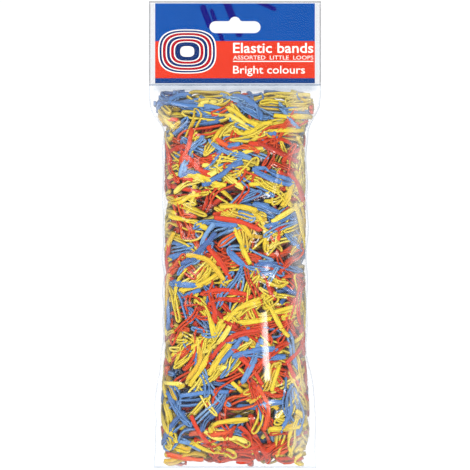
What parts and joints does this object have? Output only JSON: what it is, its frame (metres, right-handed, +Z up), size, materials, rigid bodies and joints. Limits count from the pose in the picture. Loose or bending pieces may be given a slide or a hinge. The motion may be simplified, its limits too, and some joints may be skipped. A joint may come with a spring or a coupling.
{
  "type": "hanging pouch of elastic bands",
  "caption": "Clear hang-sell pouch of small coloured elastic bands under a printed header card with a euro slot; the filled pouch swings on its film neck.",
  "frame": {"origin": "top of the hang slot's hump, where the display peg bears, on the header card's mid-plane", "axes": "+Z up the hanging pack; the printed front faces -Y; +X across the header to the right as seen from the front"},
  "size_m": [0.1076, 0.04, 0.292],
  "materials": {
    "clear_film": "clear glossy polypropylene film",
    "fused_film": "hazy heat-sealed film",
    "card_stock": "printed satin card",
    "band_yellow": "satin rubber",
    "band_red": "satin rubber",
    "band_blue": "satin rubber",
    "band_mix": "satin rubber, mixed colours"
  },
  "bodies": {
    "header": {"header_back_film": "clear_film", "header_card": "card_stock", "header_front_film": "clear_film", "header_side_seal_left": "fused_film", "header_side_seal_right": "fused_film", "header_top_seal": "fused_film", "neck_seal": "fused_film"},
    "pouch": {"band_blue_01": "band_blue", "band_blue_02": "band_blue", "band_blue_03": "band_blue", "band_blue_04": "band_blue", "band_blue_05": "band_blue", "band_blue_06": "band_blue", "band_blue_07": "band_blue", "band_blue_08": "band_blue", "band_blue_09": "band_blue", "band_blue_10": "band_blue", "band_blue_11": "band_blue", "band_blue_12": "band_blue", "band_blue_13": "band_blue", "band_pile": "band_mix", "band_red_01": "band_red", "band_red_02": "band_red", "band_red_03": "band_red", "band_red_04": "band_red", "band_red_05": "band_red", "band_red_06": "band_red", "band_red_07": "band_red", "band_red_08": "band_red", "band_red_09": "band_red", "band_red_10": "band_red", "band_red_11": "band_red", "band_red_12": "band_red", "band_red_13": "band_red", "band_red_14": "band_red", "band_yellow_01": "band_yellow", "band_yellow_02": "band_yellow", "band_yellow_03": "band_yellow", "band_yellow_04": "band_yellow", "band_yellow_05": "band_yellow", "band_yellow_06": "band_yellow", "band_yellow_07": "band_yellow", "band_yellow_08": "band_yellow", "band_yellow_09": "band_yellow", "band_yellow_10": "band_yellow", "band_yellow_11": "band_yellow", "band_yellow_12": "band_yellow", "band_yellow_13": "band_yellow", "band_yellow_14": "band_yellow", "band_yellow_15": "band_yellow", "band_yellow_16": "band_yellow", "band_yellow_17": "band_yellow", "band_yellow_18": "band_yellow", "band_yellow_19": "band_yellow", "bottom_seal": "fused_film", "pouch_back_wall": "clear_film", "pouch_front_wall": "clear_film", "side_seal_left": "fused_film", "side_seal_right": "fused_film"}
  },
  "joints": [
    {"name": "neck_fold", "type": "hinge", "parent": "header", "child": "pouch", "pos_m": [0, 0, -0.0439], "axis": [1, 0, 0], "range_deg": [-105, 105]}
  ]
}
